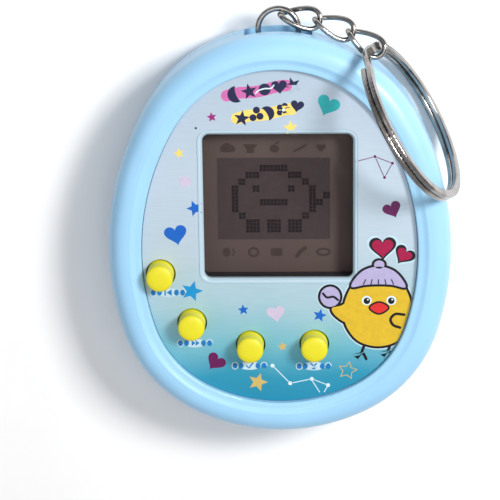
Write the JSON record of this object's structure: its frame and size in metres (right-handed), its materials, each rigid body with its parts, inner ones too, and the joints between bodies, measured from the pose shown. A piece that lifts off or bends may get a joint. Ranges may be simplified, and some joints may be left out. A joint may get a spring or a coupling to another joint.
{
  "type": "virtual pet keychain",
  "caption": "Egg-shaped handheld virtual pet toy with a small square LCD, four raised buttons, a printed face plate and a short curb chain with a split key ring",
  "frame": {"origin": "centre of the flat back face", "axes": "+Z out of the display face, +Y from the display towards the chain, +X to the right of the display"},
  "size_m": [0.0513, 0.0633, 0.0245],
  "materials": {
    "case_blue": "satin moulded ABS",
    "printed_plate": "brushed silver print fading to teal",
    "clear_lens": "clear acrylic",
    "dark_plastic": "fine matte",
    "lcd_glass": "laminated glass with a smooth film",
    "dark_rubber": "layered silicone",
    "board_green": "solder mask",
    "dark_epoxy": "epoxy drop",
    "nickel": "plated steel",
    "ceramic_chips": "fired ceramic",
    "grey_rubber": "silicone rubber",
    "button_yellow": "satin moulded",
    "contact_metal": "spring steel",
    "brass_disc": "brass with a ceramic layer",
    "screw_steel": "zinc plated",
    "chain_nickel": "polished nickel plate",
    "ring_nickel": "polished nickel plate"
  },
  "bodies": {
    "case": {"front_shell": "case_blue", "rear_shell": "case_blue", "face_plate": "printed_plate", "window_lens": "clear_lens", "lcd_frame": "dark_plastic", "lcd_panel": "lcd_glass", "upper_connector": "dark_rubber", "lower_connector": "dark_rubber", "circuit_board": "board_green", "chip_cover": "dark_epoxy", "crystal_can": "nickel", "board_parts": "ceramic_chips", "keypad_mat": "grey_rubber", "reset_dome": "grey_rubber", "select_dome": "grey_rubber", "decide_dome": "grey_rubber", "cancel_dome": "grey_rubber", "coin_cell": "nickel", "top_contact": "contact_metal", "side_contact": "contact_metal", "buzzer": "brass_disc", "buzzer_springs": "contact_metal", "case_screws": "screw_steel"},
    "battery_door": {"battery_door": "case_blue", "door_screw": "screw_steel"},
    "reset_button": {"reset_button": "button_yellow"},
    "select_button": {"select_button": "button_yellow"},
    "decide_button": {"decide_button": "button_yellow"},
    "cancel_button": {"cancel_button": "button_yellow"},
    "jump_ring": {"jump_ring": "chain_nickel"},
    "chain_link_1": {"chain_link_1": "chain_nickel"},
    "chain_link_2": {"chain_link_2": "chain_nickel"},
    "chain_link_3": {"chain_link_3": "chain_nickel"},
    "split_ring": {"split_ring": "ring_nickel"}
  },
  "joints": [
    {"name": "reset_press", "type": "slide", "parent": "case", "child": "reset_button", "axis": [0, 0, -1], "range_m": [0, 0.0008], "stiffness_N_per_m": 600, "deforming": ["reset_dome"]},
    {"name": "select_press", "type": "slide", "parent": "case", "child": "select_button", "axis": [0, 0, -1], "range_m": [0, 0.0008], "stiffness_N_per_m": 600, "deforming": ["select_dome"]},
    {"name": "decide_press", "type": "slide", "parent": "case", "child": "decide_button", "axis": [0, 0, -1], "range_m": [0, 0.0008], "stiffness_N_per_m": 600, "deforming": ["decide_dome"]},
    {"name": "cancel_press", "type": "slide", "parent": "case", "child": "cancel_button", "axis": [0, 0, -1], "range_m": [0, 0.0008], "stiffness_N_per_m": 600, "deforming": ["cancel_dome"]},
    {"name": "battery_door_slide", "type": "slide", "parent": "case", "child": "battery_door", "axis": [0, 0, -1], "range_m": [0, 0.008]},
    {"name": "jump_ring_turn", "type": "hinge", "parent": "case", "child": "jump_ring", "pos_m": [0, 0.02835, 0.00685], "axis": [0, 0, 1], "range_deg": [0, 35]},
    {"name": "chain_link_1_turn", "type": "hinge", "parent": "jump_ring", "child": "chain_link_1", "pos_m": [0.00068, 0.03199, 0.00685], "axis": [0, 0, 1], "range_deg": [0, 30]},
    {"name": "chain_link_2_turn", "type": "hinge", "parent": "chain_link_1", "child": "chain_link_2", "pos_m": [0.00564, 0.03134, 0.00765], "axis": [0, 0, 1], "range_deg": [0, 30]},
    {"name": "chain_link_3_turn", "type": "hinge", "parent": "chain_link_2", "child": "chain_link_3", "pos_m": [0.01035, 0.02968, 0.00845], "axis": [0, 0, 1], "range_deg": [0, 30]},
    {"name": "split_ring_lift", "type": "hinge", "parent": "chain_link_3", "child": "split_ring", "pos_m": [0.01502, 0.02687, 0.00932], "axis": [-0.8572, -0.515, 0], "range_deg": [0, 32]}
  ]
}
